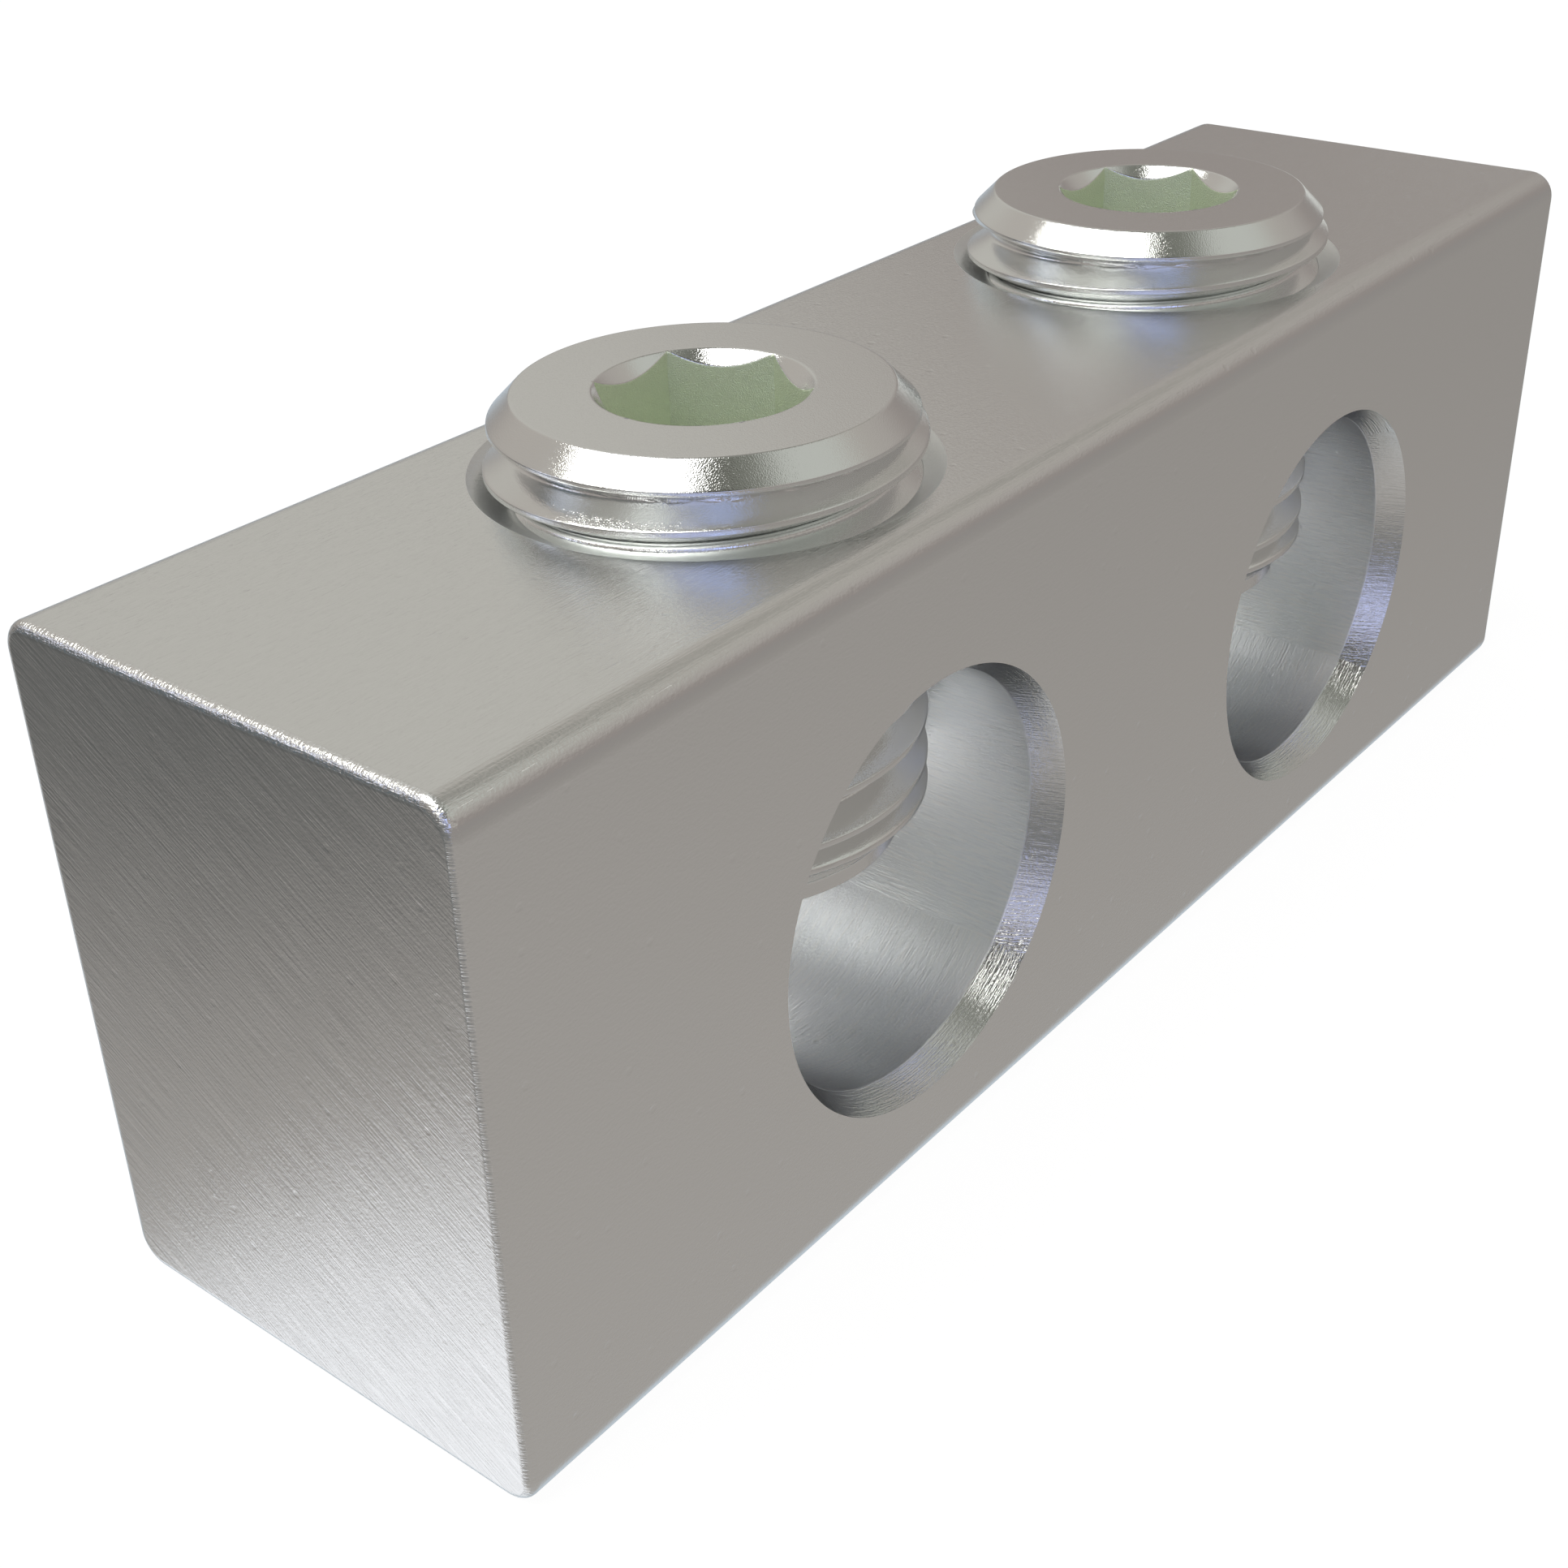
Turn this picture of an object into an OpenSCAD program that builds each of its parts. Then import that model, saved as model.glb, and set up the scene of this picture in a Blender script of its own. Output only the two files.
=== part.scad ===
// Multiple cable tap: one aluminium block with two cross bores and one set screw over each bore.
// Millimetres, +Z up. Origin: middle of the block's underside. +X along the block, the bores run along Y.
// Sizes come from a camera fit to the photo, scaled by the 7/16-20 thread and its 3/16 inch hex socket.

/* [Node] */
// which sub-part to build

/* [Block] */
// length along X
block_length = 52.7; // [51:0.1:56]
// depth along Y, the length of each bore
block_depth = 14.2; // [13.5:0.1:16]
// height along Z
block_height = 18.6; // [18:0.1:20]
// rounding of the four long edges of the bar
long_edge_radius = 0.85; // [0.4:0.01:1.8]
// break of the edges around the two sawn ends
end_edge_break = 0.28; // [0.1:0.01:0.6]

/* [Conductor bores] */
// distance between the two bore axes
bore_spacing = 21.3; // [19:0.1:23]
// bore diameter for the stripped conductor
bore_diameter = 11.43; // [11.4:0.01:12]
// height of the bore axes over the underside
bore_axis_height = 8.5; // [8.4:0.1:9]
// diameter of the bore mouth on both faces
bore_mouth_diameter = 12.18; // [12.1:0.01:13]
// depth of the steep lead-in at each bore mouth
bore_mouth_depth = 0.91; // [0.4:0.01:1.5]

/* [Set screw holes] */
// radial room between thread crests and hole
thread_clearance = 0.05; // [0.02:0.01:0.09]
// diameter of the countersink on the top face
hole_mouth_diameter = 11.94; // [11.5:0.01:12.4]

/* [Set screws] */
// major diameter of the 7/16-20 thread
thread_major_diameter = 11.11; // [11:0.01:11.2]
// axial distance between crests
thread_pitch = 1.27; // [1.2:0.01:1.41]
// radial depth of the thread groove
thread_depth = 0.78; // [0.5:0.01:0.85]
// axial width of the crest flat
crest_flat = 0.16; // [0.1:0.01:0.25]
// overall screw length
screw_length = 12.3; // [12:0.1:12.8]
// height of the screw's top face over the block, as photographed
screw_stand_up = 2.0; // [1.5:0.1:3]
// how much further down the hole is tapped for the screw to go, two turns of the thread
screw_travel_down = 2.54; // [0:0.01:2.6]
// diameter of the flat top face
top_face_diameter = 9.5; // [9.2:0.1:10]
// height of the 45 degree chamfer under the top face
top_chamfer_height = 0.61; // [0.4:0.01:0.7]
// thickness of the crest band below the top chamfer
top_band = 0.1; // [0.05:0.01:0.14]
// length of the plain nose at the lower end
nose_length = 0.45; // [0.3:0.01:0.6]

/* [Hex sockets] */
// width across flats, 3/16 inch
hex_across_flats = 4.7625; // [4.5:0.0001:5]
// depth of the hex walls below the top face
hex_depth = 5.6; // [4:0.1:6.5]
// depth at which the lead-in cone has closed to the hex flats
hex_lead_in_depth = 0.38; // [0.2:0.01:0.5]
// depth of the drill point below the hex walls
hex_drill_point = 1.2; // [0.6:0.1:1.4]

/* [Hidden] */
$fn = 96;
overlap = 1;
bore_x = bore_spacing / 2;
hole_diameter = thread_major_diameter + 2 * thread_clearance;
hole_mouth_depth = (hole_mouth_diameter - hole_diameter) / 2;
major_radius = thread_major_diameter / 2;
minor_radius = major_radius - thread_depth;
top_face_radius = top_face_diameter / 2;
band_radius = top_face_radius + top_chamfer_height;
// height taken by one 60 degree thread flank of full depth
flank_height = thread_depth * tan(30);
band_flank_height = (band_radius - minor_radius) * tan(30);
root_flat = thread_pitch - crest_flat - 2 * flank_height;
// lower crest: a full ring on top of the 45 degree nose chamfer
first_crest_z = nose_length + thread_depth;
top_band_z = screw_length - top_chamfer_height - top_band;
// full crests that fit between the lower crest and the crest band under the top chamfer
crest_count = floor((top_band_z - band_flank_height - first_crest_z - crest_flat - flank_height) / thread_pitch);
screw_bottom_z = block_height + screw_stand_up - screw_length;
// the hole ends just under the lower crest of a screw that is wound all the way down
hole_bottom_z = screw_bottom_z + first_crest_z - screw_travel_down - 2 * thread_clearance;
hex_corner_diameter = hex_across_flats / cos(30);
screw_colour = [0.78, 0.77, 0.74];
block_colour = [0.66, 0.65, 0.62];

module rounded_rectangle(width, height, radius) {
    inner = [width - 2 * radius, height - 2 * radius];
    union() {
        square([width, inner[1]], center = true);
        square([inner[0], height], center = true);
        for (sx = [-1, 1])
            for (sy = [-1, 1])
                translate([sx * inner[0] / 2, sy * inner[1] / 2])
                    circle(r = radius);
    }
}

// drawn bar: rounded section along X, its two sawn ends slightly broken on all sides
module bar() {
    translate([0, 0, block_height / 2])
        intersection() {
            rotate([90, 0, 90])
                linear_extrude(height = block_length + overlap, center = true)
                    rounded_rectangle(block_depth, block_height, long_edge_radius);
            rotate([90, 0, 0])
                linear_extrude(height = block_depth + overlap, center = true)
                    rounded_rectangle(block_length, block_height, end_edge_break);
            linear_extrude(height = block_height + overlap, center = true)
                rounded_rectangle(block_length, block_depth, end_edge_break);
        }
}

module conductor_bore() {
    lead_in = (bore_mouth_diameter - bore_diameter) / 2;
    rotate([-90, 0, 0]) {
        cylinder(d = bore_diameter, h = block_depth + 2 * overlap, center = true);
        for (side = [0, 180])
            rotate([side, 0, 0])
                translate([0, 0, block_depth / 2 - bore_mouth_depth])
                    cylinder(
                        d1 = bore_diameter,
                        d2 = bore_mouth_diameter + 2 * lead_in * overlap / bore_mouth_depth,
                        h = bore_mouth_depth + overlap
                    );
    }
}

// hole from the top face into the bore, countersunk at its mouth, its lower end just cutting the bore's walls
module screw_hole() {
    translate([0, 0, hole_bottom_z])
        cylinder(d = hole_diameter, h = block_height - hole_bottom_z + overlap);
    translate([0, 0, block_height - hole_mouth_depth])
        cylinder(
            d1 = hole_diameter,
            d2 = hole_mouth_diameter + 2 * overlap,
            h = hole_mouth_depth + overlap
        );
}

module block() {
    color(block_colour)
        difference() {
            bar();
            for (side = [-1, 1])
                translate([side * bore_x, 0, 0]) {
                    translate([0, 0, bore_axis_height])
                        conductor_bore();
                    screw_hole();
                }
        }
}

// half section of one thread groove, from the crest flat below it to the crest flat above it
function groove(z) = [
    [major_radius, z],
    [minor_radius, z + flank_height],
    [minor_radius, z + flank_height + root_flat],
    [major_radius, z + thread_pitch - crest_flat]
];

screw_profile = concat(
    [[0, 0], [minor_radius, 0], [minor_radius, nose_length], [major_radius, first_crest_z]],
    [for (i = [0 : crest_count - 1]) each groove(first_crest_z + crest_flat + i * thread_pitch)],
    [
        [major_radius, first_crest_z + crest_flat + crest_count * thread_pitch],
        [minor_radius, first_crest_z + crest_flat + crest_count * thread_pitch + flank_height],
        [minor_radius, top_band_z - band_flank_height],
        [band_radius, top_band_z],
        [band_radius, top_band_z + top_band],
        [top_face_radius, screw_length],
        [0, screw_length]
    ]
);

// hex walls, the cone that leads into them and the drill point under them
module hex_socket() {
    lead_in_slope = (hex_corner_diameter - hex_across_flats) / hex_lead_in_depth;
    translate([0, 0, screw_length - hex_depth])
        cylinder(d = hex_corner_diameter, h = hex_depth + overlap, $fn = 6);
    translate([0, 0, screw_length - hex_lead_in_depth])
        cylinder(
            d1 = hex_across_flats,
            d2 = hex_corner_diameter + lead_in_slope * overlap,
            h = hex_lead_in_depth + overlap
        );
    translate([0, 0, screw_length - hex_depth - hex_drill_point])
        cylinder(d1 = 0, d2 = hex_across_flats, h = hex_drill_point);
}

module set_screw() {
    color(screw_colour)
        translate([0, 0, screw_bottom_z])
            difference() {
                rotate_extrude()
                    polygon(screw_profile);
                hex_socket();
            }
}

module set_screw_left() {
    translate([-bore_x, 0, 0])
        set_screw();
}

module set_screw_right() {
    translate([bore_x, 0, 0])
        set_screw();
}

block();
set_screw_left();
set_screw_right();
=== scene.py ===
"""The looks of a multiple cable tap: an extruded aluminium block with two bores and two plated set screws."""

import math

import bmesh
import bpy
import numpy as np
from mathutils import Matrix, Vector


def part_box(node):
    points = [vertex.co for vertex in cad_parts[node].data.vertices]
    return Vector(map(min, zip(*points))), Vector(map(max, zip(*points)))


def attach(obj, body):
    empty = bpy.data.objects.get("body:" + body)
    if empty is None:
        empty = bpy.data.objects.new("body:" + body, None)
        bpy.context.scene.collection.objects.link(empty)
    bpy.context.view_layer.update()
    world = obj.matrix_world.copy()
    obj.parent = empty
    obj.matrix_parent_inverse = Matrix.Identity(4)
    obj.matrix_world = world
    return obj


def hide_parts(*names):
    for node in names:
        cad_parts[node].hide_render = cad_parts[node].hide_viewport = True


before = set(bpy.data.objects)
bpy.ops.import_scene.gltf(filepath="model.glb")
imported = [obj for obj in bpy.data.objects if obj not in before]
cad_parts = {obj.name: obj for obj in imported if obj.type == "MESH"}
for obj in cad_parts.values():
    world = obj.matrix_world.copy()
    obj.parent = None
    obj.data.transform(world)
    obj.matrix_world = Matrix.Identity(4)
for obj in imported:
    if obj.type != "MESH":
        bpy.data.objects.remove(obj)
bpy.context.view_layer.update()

scene = bpy.context.scene
scene.view_settings.view_transform = "Standard"

# Camera
# A 50 mm lens close over the near left corner of the block, as in the photograph.
MM = 0.001
CAMERA_PLACE = (-48.93, -33.61, 38.97)
CAMERA_AZIMUTH = -50.609
CAMERA_ELEVATION = 30.287
CAMERA_ROLL = -1.743

camera = bpy.data.objects.new("camera", bpy.data.cameras.new("camera"))
scene.collection.objects.link(camera)
camera.data.lens = 50
camera.data.sensor_width = 36
camera.data.clip_start = 1 * MM
camera.data.clip_end = 20
turn = Matrix.Rotation(math.radians(CAMERA_AZIMUTH), 3, "Z")
turn = turn @ Matrix.Rotation(math.radians(90 - CAMERA_ELEVATION), 3, "X")
turn = turn @ Matrix.Rotation(math.radians(CAMERA_ROLL), 3, "Z")
camera.matrix_world = Matrix.Translation(Vector(CAMERA_PLACE) * MM) @ turn.to_4x4()
scene.camera = camera


# Studio
# White for the camera. The metal sees a grey tent with lighter and darker round patches, and an overhead
# soft box.
def linear(hex_colour, strength=1.0):
    """sRGB hex to linear RGBA: c/12.92 below 0.04045, else ((c + 0.055) / 1.055) ** 2.4, times a strength."""
    srgb = np.array([int(hex_colour[i : i + 2], 16) for i in (1, 3, 5)]) / 255
    rgb = np.where(srgb <= 0.04045, srgb / 12.92, ((srgb + 0.055) / 1.055) ** 2.4)
    return (*(rgb * strength).tolist(), 1.0)


def node(tree, kind, settings=None, inputs=None):
    """Adds a node with its settings. An input is a value, or another node's output socket to link."""
    made = tree.nodes.new(kind)
    for name, value in (settings or {}).items():
        setattr(made, name, value)
    for key, value in (inputs or {}).items():
        if isinstance(value, bpy.types.NodeSocket):
            tree.links.new(value, made.inputs[key])
        else:
            made.inputs[key].default_value = value
    return made


def heading(azimuth, elevation):
    """Unit vector of a direction: azimuth from +X towards +Y and elevation over the floor, in degrees."""
    a, e = math.radians(azimuth), math.radians(elevation)
    return (math.cos(a) * math.cos(e), math.sin(a) * math.cos(e), math.sin(e))


# sine of the elevation, and the colour of the tent there
TENT = (
    (-1.0, "#B0ADAB"),
    (-0.7, "#A7A29E"),
    (-0.5, "#9F9A96"),
    (-0.28, "#97928E"),
    (0.05, "#938E8B"),
    (0.25, "#958D89"),
    (0.45, "#AAA49F"),
    (0.70, "#B0ABA4"),
    (0.85, "#9C9A94"),
    (1.0, "#8B8A86"),
)
# round patches, each painted over those before it: azimuth, elevation, radius of full colour and radius where
# it ends, all in degrees, then colour and strength
PATCHES = (
    (75, 33, 5, 38, "#B5AFA9", 1.0),
    (73, 61, 4, 11, "#FFFFFF", 1.0),
    (128, -10, 15, 29, "#5F5F5E", 1.0),
    (158, -12, 15, 32, "#6B6B6A", 1.0),
    (-168, -8, 10, 32, "#777777", 1.0),
    (125, -64.5, 22.5, 25, "#F6F6FA", 1.05),
    (45, -45, 24, 54, "#C2CCD5", 1.0),
    (3, 40, 4, 13, "#9C9892", 1.0),
    (-5, 70, 8, 22, "#8C8A84", 1.0),
    (-105, 68, 9, 20, "#777870", 1.0),
    (-142, 54, 8, 20, "#4E4C47", 1.0),
    (132, 2, 4, 12, "#5E6C76", 1.0),
    (126, 25, 4, 9, "#E6EAFF", 1.8),
    (-177, 29, 4, 11, "#FFFFFF", 1.65),
    (-150, 20, 5, 17, "#C3CAF5", 1.05),
    (-132, 31, 4, 11, "#B5C6FF", 1.7),
    (56, 27, 8, 26, "#BDBAB4", 1.0),
    (-58, 53, 8, 24, "#BDBEB8", 1.0),
    (18, -3, 4, 12, "#DDDEDA", 1.0),
)
world = bpy.data.worlds.new("tent")
scene.world = world
world.use_nodes = True
tree = world.node_tree
tree.nodes.clear()
direction = node(tree, "ShaderNodeTexCoord").outputs["Generated"]
height = node(tree, "ShaderNodeSeparateXYZ", {}, {0: direction}).outputs["Z"]
ramp_place = node(tree, "ShaderNodeMapRange", {}, {"Value": height, "From Min": -1.0, "From Max": 1.0})
ramp = node(tree, "ShaderNodeValToRGB", {}, {"Fac": ramp_place.outputs[0]})
while len(ramp.color_ramp.elements) < len(TENT):
    ramp.color_ramp.elements.new(0.5)
for stop, (sine, colour) in zip(ramp.color_ramp.elements, TENT):
    stop.position = (sine + 1) / 2
    stop.color = linear(colour)
seen = ramp.outputs["Color"]
for azimuth, elevation, full, end, colour, strength in PATCHES:
    towards = node(
        tree,
        "ShaderNodeVectorMath",
        {"operation": "DOT_PRODUCT"},
        {0: direction, 1: heading(azimuth, elevation)},
    )
    share = node(
        tree,
        "ShaderNodeMapRange",
        {"interpolation_type": "SMOOTHSTEP"},
        {
            "Value": towards.outputs["Value"],
            "From Min": math.cos(math.radians(end)),
            "From Max": math.cos(math.radians(full)),
        },
    )
    mixed = node(
        tree,
        "ShaderNodeMix",
        {"data_type": "RGBA"},
        {"Factor": share.outputs[0], "A": seen, "B": linear(colour, strength)},
    )
    seen = mixed.outputs["Result"]
rays = node(tree, "ShaderNodeLightPath").outputs
background = node(
    tree,
    "ShaderNodeMix",
    {"data_type": "RGBA"},
    {"Factor": rays["Is Camera Ray"], "A": seen, "B": (1, 1, 1, 1)},
)
sky = node(tree, "ShaderNodeBackground", {}, {"Color": background.outputs["Result"], "Strength": 1.0})
node(tree, "ShaderNodeOutputWorld", {}, {"Surface": sky.outputs[0]})

# the overhead soft box, level, one metre up: its middle and its sides along X and Y
BOX_MIDDLE = (-0.48, 0.30, 1.0)
BOX_SIDES = (0.56, 0.94)
BOX_POWER = 7.0
box_lamp = bpy.data.lights.new("soft_box", "AREA")
box_lamp.shape = "RECTANGLE"
box_lamp.size, box_lamp.size_y = BOX_SIDES
box_lamp.energy = BOX_POWER
box_lamp.color = linear("#FFFEFA")[:3]
soft_box = bpy.data.objects.new("soft_box", box_lamp)
scene.collection.objects.link(soft_box)
soft_box.location = BOX_MIDDLE
soft_box.visible_camera = False

# Floor
# White paper for the camera with a trace of the block's shadow; the metal looks through it at the lower half
# of the tent.
FLOOR_SIDE = 4.0
SHADOW_SHARE = 0.10
PAPER_STRENGTH = 1.06
corners = FLOOR_SIDE / 2 * np.array([[-1, -1, 0], [1, -1, 0], [1, 1, 0], [-1, 1, 0]], float)
floor_mesh = bpy.data.meshes.new("floor")
floor_mesh.from_pydata(corners.tolist(), [], [(0, 1, 2, 3)])
floor = bpy.data.objects.new("floor", floor_mesh)
scene.collection.objects.link(floor)
paper = bpy.data.materials.new("white_paper")
paper.use_nodes = True
tree = paper.node_tree
tree.nodes.clear()
rays = node(tree, "ShaderNodeLightPath").outputs
lit = node(tree, "ShaderNodeBsdfDiffuse", {}, {"Color": linear("#FFFFFF")})
white = node(tree, "ShaderNodeEmission", {}, {"Color": (1, 1, 1, 1), "Strength": PAPER_STRENGTH})
clear = node(tree, "ShaderNodeBsdfTransparent")
shown = node(tree, "ShaderNodeMixShader", {}, {0: SHADOW_SHARE, 1: white.outputs[0], 2: lit.outputs[0]})
by_camera = node(
    tree,
    "ShaderNodeMixShader",
    {},
    {0: rays["Is Camera Ray"], 1: lit.outputs[0], 2: shown.outputs[0]},
)
by_metal = node(
    tree,
    "ShaderNodeMixShader",
    {},
    {0: rays["Is Glossy Ray"], 1: by_camera.outputs[0], 2: clear.outputs[0]},
)
node(tree, "ShaderNodeOutputMaterial", {}, {"Surface": by_metal.outputs[0]})
floor_mesh.materials.append(paper)

# Block
# One length of extruded aluminium bar, drilled and tapped. Its sawn ends keep the diagonal tooth marks, and
# the rest has the die's fine lines along X with small handling dents.


def arithmetic(tree, operation, *values):
    """One Math node: its operation on up to three values or sockets."""
    return node(tree, "ShaderNodeMath", {"operation": operation}, dict(enumerate(values))).outputs[0]


def stretched(tree, place, along, across, length, width, seed, detail=3.0):
    """Noise around 0, drawn out into strokes: the place's shares along and across them, each over its size in
    mm."""
    shares = [
        node(
            tree,
            "ShaderNodeVectorMath",
            {"operation": "DOT_PRODUCT"},
            {0: place, 1: tuple(np.asarray(axis, float) / (size * MM))},
        ).outputs["Value"]
        for axis, size in ((along, length), (across, width))
    ]
    spot = node(tree, "ShaderNodeCombineXYZ", {}, {"X": shares[0], "Y": shares[1], "Z": seed})
    strokes = node(
        tree,
        "ShaderNodeTexNoise",
        {"noise_dimensions": "3D"},
        {"Vector": spot.outputs[0], "Scale": 1.0, "Detail": detail, "Roughness": 0.6},
    )
    return arithmetic(tree, "SUBTRACT", strokes.outputs["Fac"], 0.5)


def mixed_value(tree, share, low, high):
    """The value low where the share is 0, and high where it is 1."""
    return node(tree, "ShaderNodeMix", {}, {"Factor": share, "A": low, "B": high}).outputs[0]


def flat_distance(tree, across, along):
    """Length of the flat vector with these two shares."""
    spot = node(tree, "ShaderNodeCombineXYZ", {}, {"X": across, "Y": along})
    return node(tree, "ShaderNodeVectorMath", {"operation": "LENGTH"}, {0: spot.outputs[0]}).outputs["Value"]


def bumped(tree, height, distance, under=None):
    """Normal of a relief, its full depth given in mm, over another normal if there is one."""
    inputs = {"Height": height, "Distance": distance * MM, "Strength": 1.0}
    if under is not None:
        inputs["Normal"] = under
    return node(tree, "ShaderNodeBump", {}, inputs).outputs[0]


BORE_RADIUS = 5.715
BORE_HEIGHT = 8.5
BORE_X = 10.65
HOLE_MOUTH_RADIUS = 5.97
# a little past a bore's or hole's wall, so that the wall itself counts as inside
WALL_REACH = 0.015
HOLE_SHOWS_OVER = 14.3
# distances from the middle along X at which the sawn end's finish and its broken edge begin
SAWN_FROM = 25.9
BREAK_FROM = 26.08
SAW_ANGLE = math.radians(30.5)
SAW_ALONG = (0, -math.cos(SAW_ANGLE), -math.sin(SAW_ANGLE))
SAW_ACROSS = (0, math.sin(SAW_ANGLE), -math.cos(SAW_ANGLE))
SAW_MARK_LENGTH = 2.2
MARK_LENGTH = 0.9
MARK_WIDTH = 0.06
DENT_SPACING = 0.9
GRAIN = 0.08

# Extruded aluminium, satin: a near white metal that mirrors the tent as a blur, with marks 0.06 mm wide. The
# drilled bores and tapped holes are rougher.
aluminium = bpy.data.materials.new("satin_aluminium")
aluminium.use_nodes = True
tree = aluminium.node_tree
metal = tree.nodes["Principled BSDF"]
metal.inputs["Metallic"].default_value = 1.0
coordinates = node(tree, "ShaderNodeTexCoord").outputs
place = coordinates["Object"]
facing = node(tree, "ShaderNodeSeparateXYZ", {}, {0: coordinates["Normal"]}).outputs
spot = node(tree, "ShaderNodeSeparateXYZ", {}, {0: place}).outputs
sideways = arithmetic(tree, "ABSOLUTE", facing["X"])
upright = arithmetic(tree, "ABSOLUTE", facing["Z"])
forward = arithmetic(tree, "ABSOLUTE", facing["Y"])
off_middle = arithmetic(tree, "ABSOLUTE", spot["X"])
is_sawn = arithmetic(tree, "GREATER_THAN", off_middle, SAWN_FROM * MM)
is_side = arithmetic(tree, "GREATER_THAN", sideways, arithmetic(tree, "MAXIMUM", upright, forward))
is_front = arithmetic(tree, "GREATER_THAN", forward, arithmetic(tree, "MAXIMUM", sideways, upright))
saw_marks = stretched(tree, place, SAW_ALONG, SAW_ACROSS, SAW_MARK_LENGTH, MARK_WIDTH, 3.0)
wall_marks = stretched(tree, place, (0, 1, 0), (0, 0, 1), MARK_LENGTH, MARK_WIDTH, 5.0)
flat_marks = stretched(tree, place, (1, 0, 0), (0, 1, 0), MARK_LENGTH, MARK_WIDTH, 7.0)
face_marks = stretched(tree, place, (1, 0, 0), (0, 0, 1), MARK_LENGTH, MARK_WIDTH, 11.0)
marks = mixed_value(tree, is_side, arithmetic(tree, "MULTIPLY", flat_marks, 0.7), wall_marks)
marks = mixed_value(tree, is_front, marks, arithmetic(tree, "MULTIPLY", face_marks, 0.15))
on_saw = arithmetic(tree, "MULTIPLY", is_sawn, arithmetic(tree, "GREATER_THAN", sideways, 0.97))
marks = mixed_value(tree, on_saw, marks, saw_marks)
off_axis = arithmetic(tree, "SUBTRACT", off_middle, BORE_X * MM)
over_bore = arithmetic(tree, "SUBTRACT", spot["Z"], BORE_HEIGHT * MM)
bore_radius = flat_distance(tree, off_axis, over_bore)
in_bore = arithmetic(tree, "LESS_THAN", bore_radius, (BORE_RADIUS + WALL_REACH) * MM)
hole_radius = flat_distance(tree, off_axis, spot["Y"])
in_hole = arithmetic(
    tree,
    "MULTIPLY",
    arithmetic(tree, "LESS_THAN", hole_radius, (HOLE_MOUTH_RADIUS + WALL_REACH) * MM),
    arithmetic(tree, "GREATER_THAN", spot["Z"], HOLE_SHOWS_OVER * MM),
)
roughness = mixed_value(tree, on_saw, 0.17, 0.13)
roughness = mixed_value(tree, in_bore, roughness, 0.30)
roughness = mixed_value(tree, in_hole, roughness, 0.35)
tree.links.new(roughness, metal.inputs["Roughness"])
# The bores get a lighter base colour than the outside: painted light that brightens the inside of the bores.
tint_with_painted_bore_light = node(
    tree,
    "ShaderNodeMix",
    {"data_type": "RGBA"},
    {"Factor": in_bore, "A": linear("#F1F3F2"), "B": linear("#FBFDFF")},
)
depth = mixed_value(tree, on_saw, mixed_value(tree, in_bore, 0.1, 0.45), 0.75)
shade = arithmetic(tree, "MULTIPLY_ADD", marks, depth, 1.0)
shaded = node(
    tree,
    "ShaderNodeVectorMath",
    {"operation": "SCALE"},
    {0: tint_with_painted_bore_light.outputs["Result"], "Scale": shade},
)
tree.links.new(shaded.outputs[0], metal.inputs["Base Color"])
dents = node(
    tree,
    "ShaderNodeTexVoronoi",
    {"feature": "F1"},
    {"Vector": place, "Scale": 1 / (DENT_SPACING * MM), "Randomness": 1.0},
).outputs["Distance"]
dents = node(
    tree,
    "ShaderNodeMapRange",
    {"interpolation_type": "SMOOTHSTEP"},
    {"Value": dents, "From Min": 0.05, "From Max": 0.15, "To Min": -1.0, "To Max": 0.0},
).outputs[0]
grain = node(
    tree,
    "ShaderNodeTexNoise",
    {},
    {"Vector": place, "Scale": 1 / (GRAIN * MM), "Detail": 2.0},
).outputs["Fac"]
on_break = arithmetic(
    tree,
    "MULTIPLY",
    arithmetic(tree, "GREATER_THAN", off_middle, BREAK_FROM * MM),
    arithmetic(tree, "GREATER_THAN", upright, 0.2),
)
mark_share = mixed_value(tree, on_saw, 1.0, 0.3)
relief = bumped(tree, arithmetic(tree, "MULTIPLY", marks, mark_share), 0.016)
dent_share = mixed_value(tree, is_sawn, 1.0, 0.4)
relief = bumped(tree, arithmetic(tree, "MULTIPLY", dents, dent_share), 0.005, relief)
grain_share = mixed_value(tree, on_break, mixed_value(tree, on_saw, 1.0, 0.5), 3.0)
relief = bumped(tree, arithmetic(tree, "MULTIPLY", grain, grain_share), 0.006, relief)
tree.links.new(relief, metal.inputs["Normal"])

STEPS = 180
PITCH = 1.27
CREST_FLAT = 0.15
CREST_ROUND = 0.04
ROOT_ROUND = 0.18
THREAD_RADIUS = 5.556
HELIX_HEIGHT = 19.63
TAN30 = math.tan(math.radians(30))


def past_corner(height):
    """Radius lost over the height past a crest's corner: none, then an arc of CREST_ROUND, then the flank, 30
    degrees from level."""
    from_arc = height + TAN30 * CREST_ROUND
    arc = CREST_ROUND - np.sqrt(np.maximum(CREST_ROUND**2 - from_arc**2, 0))
    return np.where(from_arc < 0, 0, np.where(height < TAN30 * CREST_ROUND / 2, arc, height / TAN30))


def thread_profile(over_crest):
    """Radius over the height above a crest's upper corner, repeated each pitch: flat crest, flanks and a root
    arc tangent to both flanks."""
    half_groove = (PITCH - CREST_FLAT) / 2
    rise = half_groove - np.abs(np.mod(over_crest + CREST_FLAT / 2, PITCH) - CREST_FLAT / 2 - half_groove)
    flank = THREAD_RADIUS - past_corner(rise)
    root_centre = THREAD_RADIUS - half_groove / TAN30 + 2 * ROOT_ROUND
    root = root_centre - np.sqrt(np.maximum(ROOT_ROUND**2 - (half_groove - rise) ** 2, 0))
    return np.where(half_groove - rise < ROOT_ROUND * math.cos(math.radians(30)), root, flank)


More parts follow.
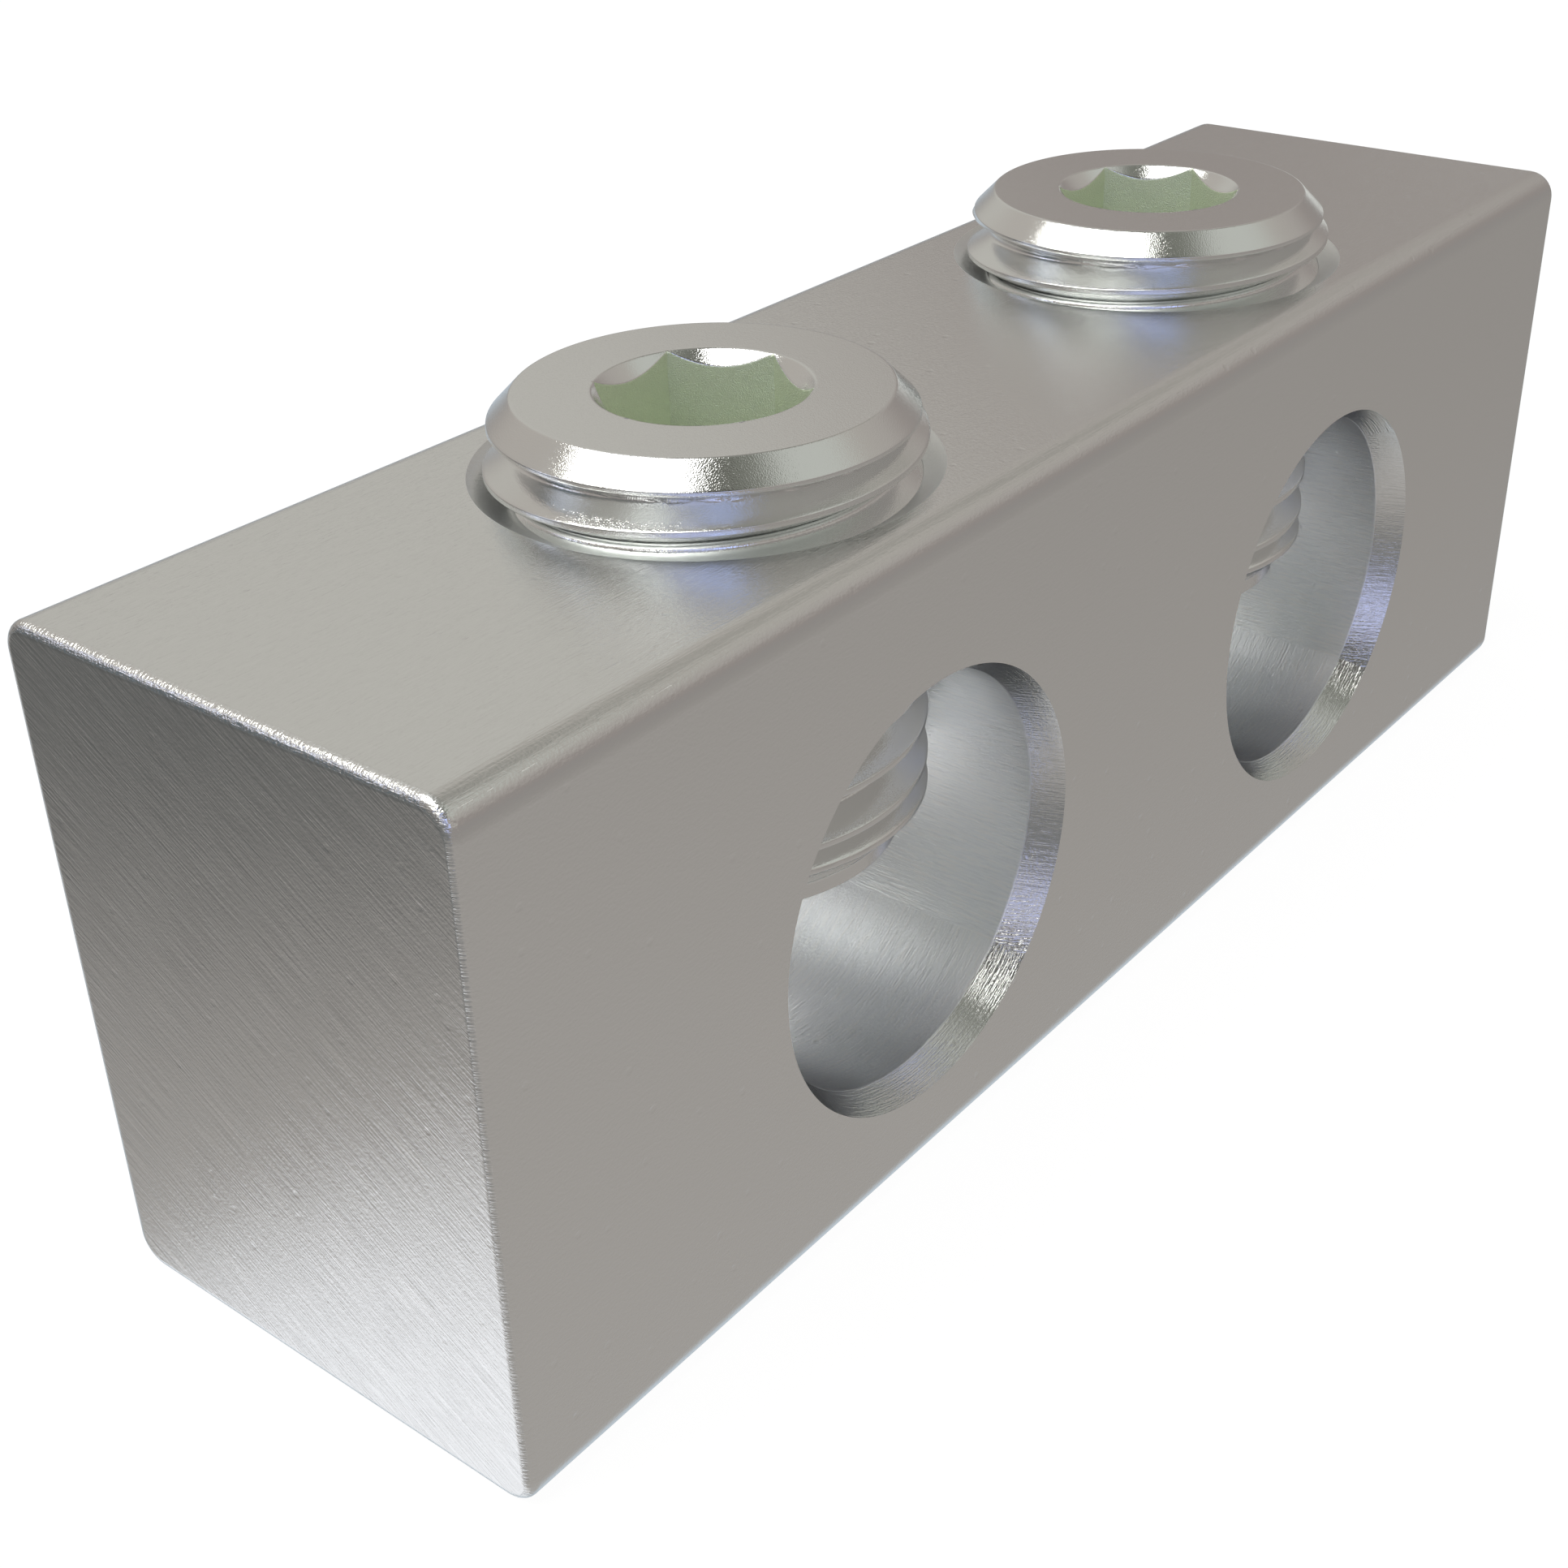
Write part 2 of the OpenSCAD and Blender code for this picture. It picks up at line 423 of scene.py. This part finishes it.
def helical_sheet(low, high, fine, radius_at):
    """Grid swept up the thread, z = helix + height in the profile, with helix = HELIX_HEIGHT + PITCH * turns,
    cut to the heights low to high; radius_at gives the radius for z and helix. fine is the number of rows on
    a flank."""
    ease = TAN30 * CREST_ROUND
    half_root = ROOT_ROUND * math.cos(math.radians(30))
    groove = PITCH - CREST_FLAT
    corner = np.linspace(-ease, ease / 2, 5)
    flank = np.linspace(ease / 2, groove / 2 - half_root, fine)[1:]
    root = np.linspace(groove / 2 - half_root, groove / 2, 5)[1:]
    half = np.concatenate([[-CREST_FLAT / 2], corner, flank, root])
    rises = np.concatenate([half, (groove - half)[-2::-1]])
    first = math.floor(((low - HELIX_HEIGHT) / PITCH - 1.2) * STEPS)
    last = math.ceil(((high - HELIX_HEIGHT) / PITCH + 0.2) * STEPS)
    steps = np.arange(first, last + 1)[:, None]
    angle = steps * 2 * math.pi / STEPS + 0 * rises
    helix = HELIX_HEIGHT + PITCH * steps / STEPS
    z = np.clip(helix + rises, low, high)
    radius = radius_at(z, helix)
    return np.stack([radius * np.cos(angle), radius * np.sin(angle), z], -1)


def turned(radius, height, steps=STEPS):
    """Grid of circles around Z: one row for each radius and height, which may change round the circle."""
    theta = np.arange(steps + 1) * 2 * math.pi / steps
    radius, height, theta = np.broadcast_arrays(radius, height, theta)
    return np.stack([radius * np.cos(theta), radius * np.sin(theta), height], -1)


def skin(name, grids, middle, caps=()):
    """Object with one quad per cell of each grid, points in mm round a middle, and what meets merged; caps
    are rings of points that are closed with one face each."""
    vertices, faces, offset = [], [], 0
    for grid in grids:
        rows, columns = grid.shape[:2]
        index = offset + np.arange(rows * columns).reshape(rows, columns)
        quads = np.stack([index[:-1, :-1], index[1:, :-1], index[1:, 1:], index[:-1, 1:]], -1)
        vertices.append(grid.reshape(-1, 3))
        faces.extend(quads.reshape(-1, 4).tolist())
        offset += rows * columns
    for ring in caps:
        vertices.append(ring)
        faces.append(list(range(offset, offset + len(ring))))
        offset += len(ring)
    points = (np.concatenate(vertices) + middle) * MM
    mesh = bpy.data.meshes.new(name)
    mesh.from_pydata(points.tolist(), [], faces)
    shape = bmesh.new()
    shape.from_mesh(mesh)
    bmesh.ops.remove_doubles(shape, verts=shape.verts, dist=1e-4 * MM)
    bmesh.ops.recalc_face_normals(shape, faces=shape.faces)
    shape.to_mesh(mesh)
    shape.free()
    made = bpy.data.objects.new(name, mesh)
    scene.collection.objects.link(made)
    return made


def cut(target, cutter):
    """Takes the cutter's volume out of the target, for good, and drops the cutter."""
    change = target.modifiers.new("cut", "BOOLEAN")
    change.operation = "DIFFERENCE"
    change.solver = "EXACT"
    change.object = cutter
    evaluated = target.evaluated_get(bpy.context.evaluated_depsgraph_get())
    target.data = bpy.data.meshes.new_from_object(evaluated)
    target.modifiers.clear()
    bpy.data.objects.remove(cutter)


def shaded_smooth(made, sharp_angle):
    """Smooth shading, apart from edges that turn by more than an angle in degrees."""
    made.data.polygons.foreach_set("use_smooth", np.ones(len(made.data.polygons), bool))
    made.data.set_sharp_from_angle(angle=math.radians(sharp_angle))


BAR_ROUND = 0.85
END_ROUND = 0.28
FLAT_GUARD = 0.02
BORE_MOUTH_RADIUS = 6.09
BORE_MOUTH_DEPTH = 0.91
HOLE_BOTTOM = 6.89
MOUTH_SLOPE = TAN30
THREAD_ROOM = 0.01
TAPPED_RADIUS = 4.92
TAPPED_FLANK_ROWS = 5
BORE_STEPS = 256
SINK_REACH = 2
BEYOND = 0.9


def tapped(z, helix):
    """Radius of the tapped hole: the screw's thread with a little room, crests cut off at TAPPED_RADIUS."""
    return np.maximum(thread_profile(z - helix) + THREAD_ROOM, TAPPED_RADIUS)


low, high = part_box("block")
half_length, half_depth, height = high.x / MM, high.y / MM, high.z / MM
# the bar's section: a rounded rectangle, each corner an arc with a point on the flats just past both its ends
corner_angle = np.radians(np.linspace(0, 90, 13))
arc = np.stack([np.cos(corner_angle), np.sin(corner_angle)], -1)
arc = np.concatenate([[[1, 0]], arc, [[0, 1]]])
guard = np.zeros_like(arc)
guard[0, 1] = guard[-1, 0] = -FLAT_GUARD
signs = ((1, 1), (-1, 1), (-1, -1), (1, -1))
middles = np.array([half_depth - BAR_ROUND, height / 2 - BAR_ROUND])
break_angle = np.radians(np.linspace(0, 90, 7))
# the end break: distance from the end face, and inset from the section, along a quarter round
stations = np.concatenate(
    [
        [[0, END_ROUND + FLAT_GUARD]],
        END_ROUND * (1 - np.stack([np.cos(break_angle), np.sin(break_angle)], -1)),
        [[END_ROUND + FLAT_GUARD, 0]],
    ]
)
rings = []
for inset in stations[:, 1]:
    quarter = (BAR_ROUND - inset) * arc + guard
    turns = [quarter if sy * sz > 0 else quarter[::-1] for sy, sz in signs]
    ring = np.concatenate([sign * (turn + middles) for sign, turn in zip(np.array(signs), turns)])
    rings.append(np.concatenate([ring, ring[:1]]))
rings = np.array(rings)
end_x = np.broadcast_to((stations[:, :1] - half_length)[:, None], (*rings.shape[:2], 1))
left = np.concatenate([end_x, rings], -1)
right = left[::-1] * (-1, 1, 1)
end_faces = [left[0, :-1], right[-1, :-1]]
block = skin("tapped_block", [np.concatenate([left, right])], (0, 0, height / 2), end_faces)

mouth_slope = (BORE_MOUTH_RADIUS - BORE_RADIUS) / BORE_MOUTH_DEPTH
straight = half_depth - BORE_MOUTH_DEPTH
wide = BORE_MOUTH_RADIUS + BEYOND * mouth_slope
bore_rows = np.array(
    [
        (0, -half_depth - BEYOND),
        (wide, -half_depth - BEYOND),
        (BORE_RADIUS, -straight),
        (BORE_RADIUS, straight),
        (wide, half_depth + BEYOND),
        (0, half_depth + BEYOND),
    ]
)
bore = turned(bore_rows[:, :1], bore_rows[:, 1:], BORE_STEPS)[..., [0, 2, 1]]
top = height + BEYOND
one_turn = HELIX_HEIGHT + PITCH * np.arange(STEPS + 1) / STEPS
hole = [
    turned([[0], [1]] * tapped(HOLE_BOTTOM, one_turn), HOLE_BOTTOM),
    helical_sheet(HOLE_BOTTOM, top, TAPPED_FLANK_ROWS, tapped),
    turned([[1], [0]] * tapped(top, one_turn), top),
]
sink_rows = np.array(
    [
        (0, -SINK_REACH * MOUTH_SLOPE),
        (HOLE_MOUTH_RADIUS - SINK_REACH, -SINK_REACH * MOUTH_SLOPE),
        (HOLE_MOUTH_RADIUS + BEYOND, BEYOND * MOUTH_SLOPE),
        (0, BEYOND),
    ]
)
sink = turned(sink_rows[:, :1], height + sink_rows[:, 1:])
for x in (-BORE_X, BORE_X):
    cut(block, skin("bore", [bore], (x, 0, BORE_HEIGHT)))
    cut(block, skin("tapped_hole", hole, (x, 0, 0)))
    cut(block, skin("countersink", [sink], (x, 0, 0)))
shaded_smooth(block, 20)
block.data.materials.clear()
block.data.materials.append(aluminium)
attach(block, "block")
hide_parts("block")

# Set screws
# Turned aluminium screws, plated bright: a right-hand thread of 20 to the inch, a hex socket with a
# countersunk mouth, a chamfered top and a plain nose. The thread runs out into level rings at both ends.
TOP_FACE_RADIUS = 4.75
TOP_CHAMFER = 0.61
TOP_BAND = 0.10
NOSE_RADIUS = 4.776
NOSE_HEIGHT = 0.45
NOSE_RING = 0.14
HEX_FLATS = 4.7625
HEX_DEPTH = 5.6
HEX_LEAD_IN = 0.38
HEX_POINT = 1.2
EDGE_ROUND = 0.04
SCREW_FLANK_ROWS = 13
SOCKET_REACH = 2.8
PLATING_GRAIN = 0.03


def rounded(corners, reach):
    """Rows along a profile with its corners eased. Corner P becomes the quadratic Bezier from P - t*u over P
    to P + t*v, u and v the directions in and out, with one more point at 2*t on each side that keeps the
    flats flat."""
    p = np.stack([np.stack(np.broadcast_arrays(*corner), -1) for corner in corners]).astype(float)
    ahead = p[1:] - p[:-1]
    length = np.linalg.norm(ahead, axis=-1, keepdims=True)
    ahead = ahead / np.maximum(length, 1e-9)
    reach = np.minimum(reach, 0.22 * length)
    rows = [p[0]]
    for before, corner, after, t_in, t_out in zip(ahead, p[1:], ahead[1:], reach, reach[1:]):
        t = np.minimum(t_in, t_out)
        start, end = corner - t * before, corner + t * after
        rows.append(corner - 2 * t_in * before)
        rows.extend(
            (1 - s) ** 2 * start + 2 * s * (1 - s) * corner + s * s * end for s in (0, 0.25, 0.5, 0.75, 1)
        )
        rows.append(corner + 2 * t_out * after)
    return np.stack([*rows, p[-1]])


def screw_mesh(name, centre_x, bottom, top):
    """Closed screw surface: the thread between two level rings, and circles that close it with nose, top and
    socket."""
    band_radius = TOP_FACE_RADIUS + TOP_CHAMFER
    ring_top = bottom + NOSE_HEIGHT + THREAD_RADIUS - NOSE_RADIUS + NOSE_RING
    band_bottom = top - TOP_CHAMFER - TOP_BAND
    ease = TAN30 * CREST_ROUND
    low, high = ring_top - ease, band_bottom + ease

    def outside(z, helix):
        radius = np.maximum(thread_profile(z - helix), THREAD_RADIUS - past_corner(z - ring_top))
        radius = np.maximum(radius, band_radius - past_corner(band_bottom - z))
        return np.minimum(radius, band_radius + np.maximum(band_bottom - z, 0))

    theta = np.arange(STEPS + 1) * 2 * math.pi / STEPS
    mouth = HEX_FLATS / math.sqrt(3)
    hex_radius = HEX_FLATS / 2 / np.cos(np.mod(theta, math.pi / 3) - math.pi / 6)
    hex_edge = top - HEX_LEAD_IN * (mouth - hex_radius) / (mouth - HEX_FLATS / 2)
    floor_z = top - HEX_DEPTH
    all_round = np.ones_like(theta)
    below = rounded(
        (
            (0 * all_round, bottom),
            (NOSE_RADIUS * all_round, bottom),
            (NOSE_RADIUS * all_round, bottom + NOSE_HEIGHT),
            (THREAD_RADIUS * all_round, ring_top - NOSE_RING),
            (THREAD_RADIUS * all_round, low),
        ),
        EDGE_ROUND,
    )
    above = rounded(
        (
            (band_radius * all_round, high),
            (band_radius * all_round, band_bottom + TOP_BAND),
            (TOP_FACE_RADIUS * all_round, top),
            (mouth * all_round, top),
            (hex_radius, hex_edge),
            (hex_radius, floor_z),
            (HEX_FLATS / 2 * all_round, floor_z),
            (0 * all_round, floor_z - HEX_POINT),
        ),
        EDGE_ROUND,
    )
    grids = [helical_sheet(low, high, SCREW_FLANK_ROWS, outside)]
    grids += [turned(rows[..., 0], rows[..., 1]) for rows in (below, above)]
    made = skin(name, grids, (centre_x, 0, 0))
    shaded_smooth(made, 40)
    return made


# Bright plating on turned aluminium: smoother than the block, with a fine grain that sparkles where light
# meets dark. The broached hex walls are duller and greenish.
plating = bpy.data.materials.new("bright_plating")
plating.use_nodes = True
tree = plating.node_tree
metal = tree.nodes["Principled BSDF"]
metal.inputs["Metallic"].default_value = 1.0
place = node(tree, "ShaderNodeTexCoord").outputs["Object"]
spot = node(tree, "ShaderNodeSeparateXYZ", {}, {0: place}).outputs
off_axis = arithmetic(tree, "SUBTRACT", arithmetic(tree, "ABSOLUTE", spot["X"]), BORE_X * MM)
in_socket = arithmetic(tree, "LESS_THAN", flat_distance(tree, off_axis, spot["Y"]), SOCKET_REACH * MM)
true_normal = node(tree, "ShaderNodeNewGeometry").outputs["True Normal"]
upright = arithmetic(tree, "ABSOLUTE", node(tree, "ShaderNodeSeparateXYZ", {}, {0: true_normal}).outputs["Z"])
on_wall = arithmetic(tree, "MULTIPLY", in_socket, arithmetic(tree, "LESS_THAN", upright, 0.3))
colour = node(
    tree,
    "ShaderNodeMix",
    {"data_type": "RGBA"},
    {"Factor": on_wall, "A": linear("#F1F3F2"), "B": linear("#F2FAE7")},
)
tree.links.new(colour.outputs["Result"], metal.inputs["Base Color"])
tree.links.new(mixed_value(tree, on_wall, 0.12, 0.55), metal.inputs["Roughness"])
fine = node(
    tree,
    "ShaderNodeTexNoise",
    {},
    {"Vector": place, "Scale": 1 / (PLATING_GRAIN * MM), "Detail": 0.0},
)
grain = arithmetic(tree, "MULTIPLY", fine.outputs["Fac"], mixed_value(tree, on_wall, 1.0, 4.0))
tree.links.new(bumped(tree, grain, 0.0035), metal.inputs["Normal"])

for side in ("left", "right"):
    cad_node = f"set_screw_{side}"
    low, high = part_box(cad_node)
    screw = screw_mesh(f"threaded_{cad_node}", (low.x + high.x) / 2 / MM, low.z / MM, high.z / MM)
    screw.data.materials.append(plating)
    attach(screw, cad_node)
    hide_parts(cad_node)
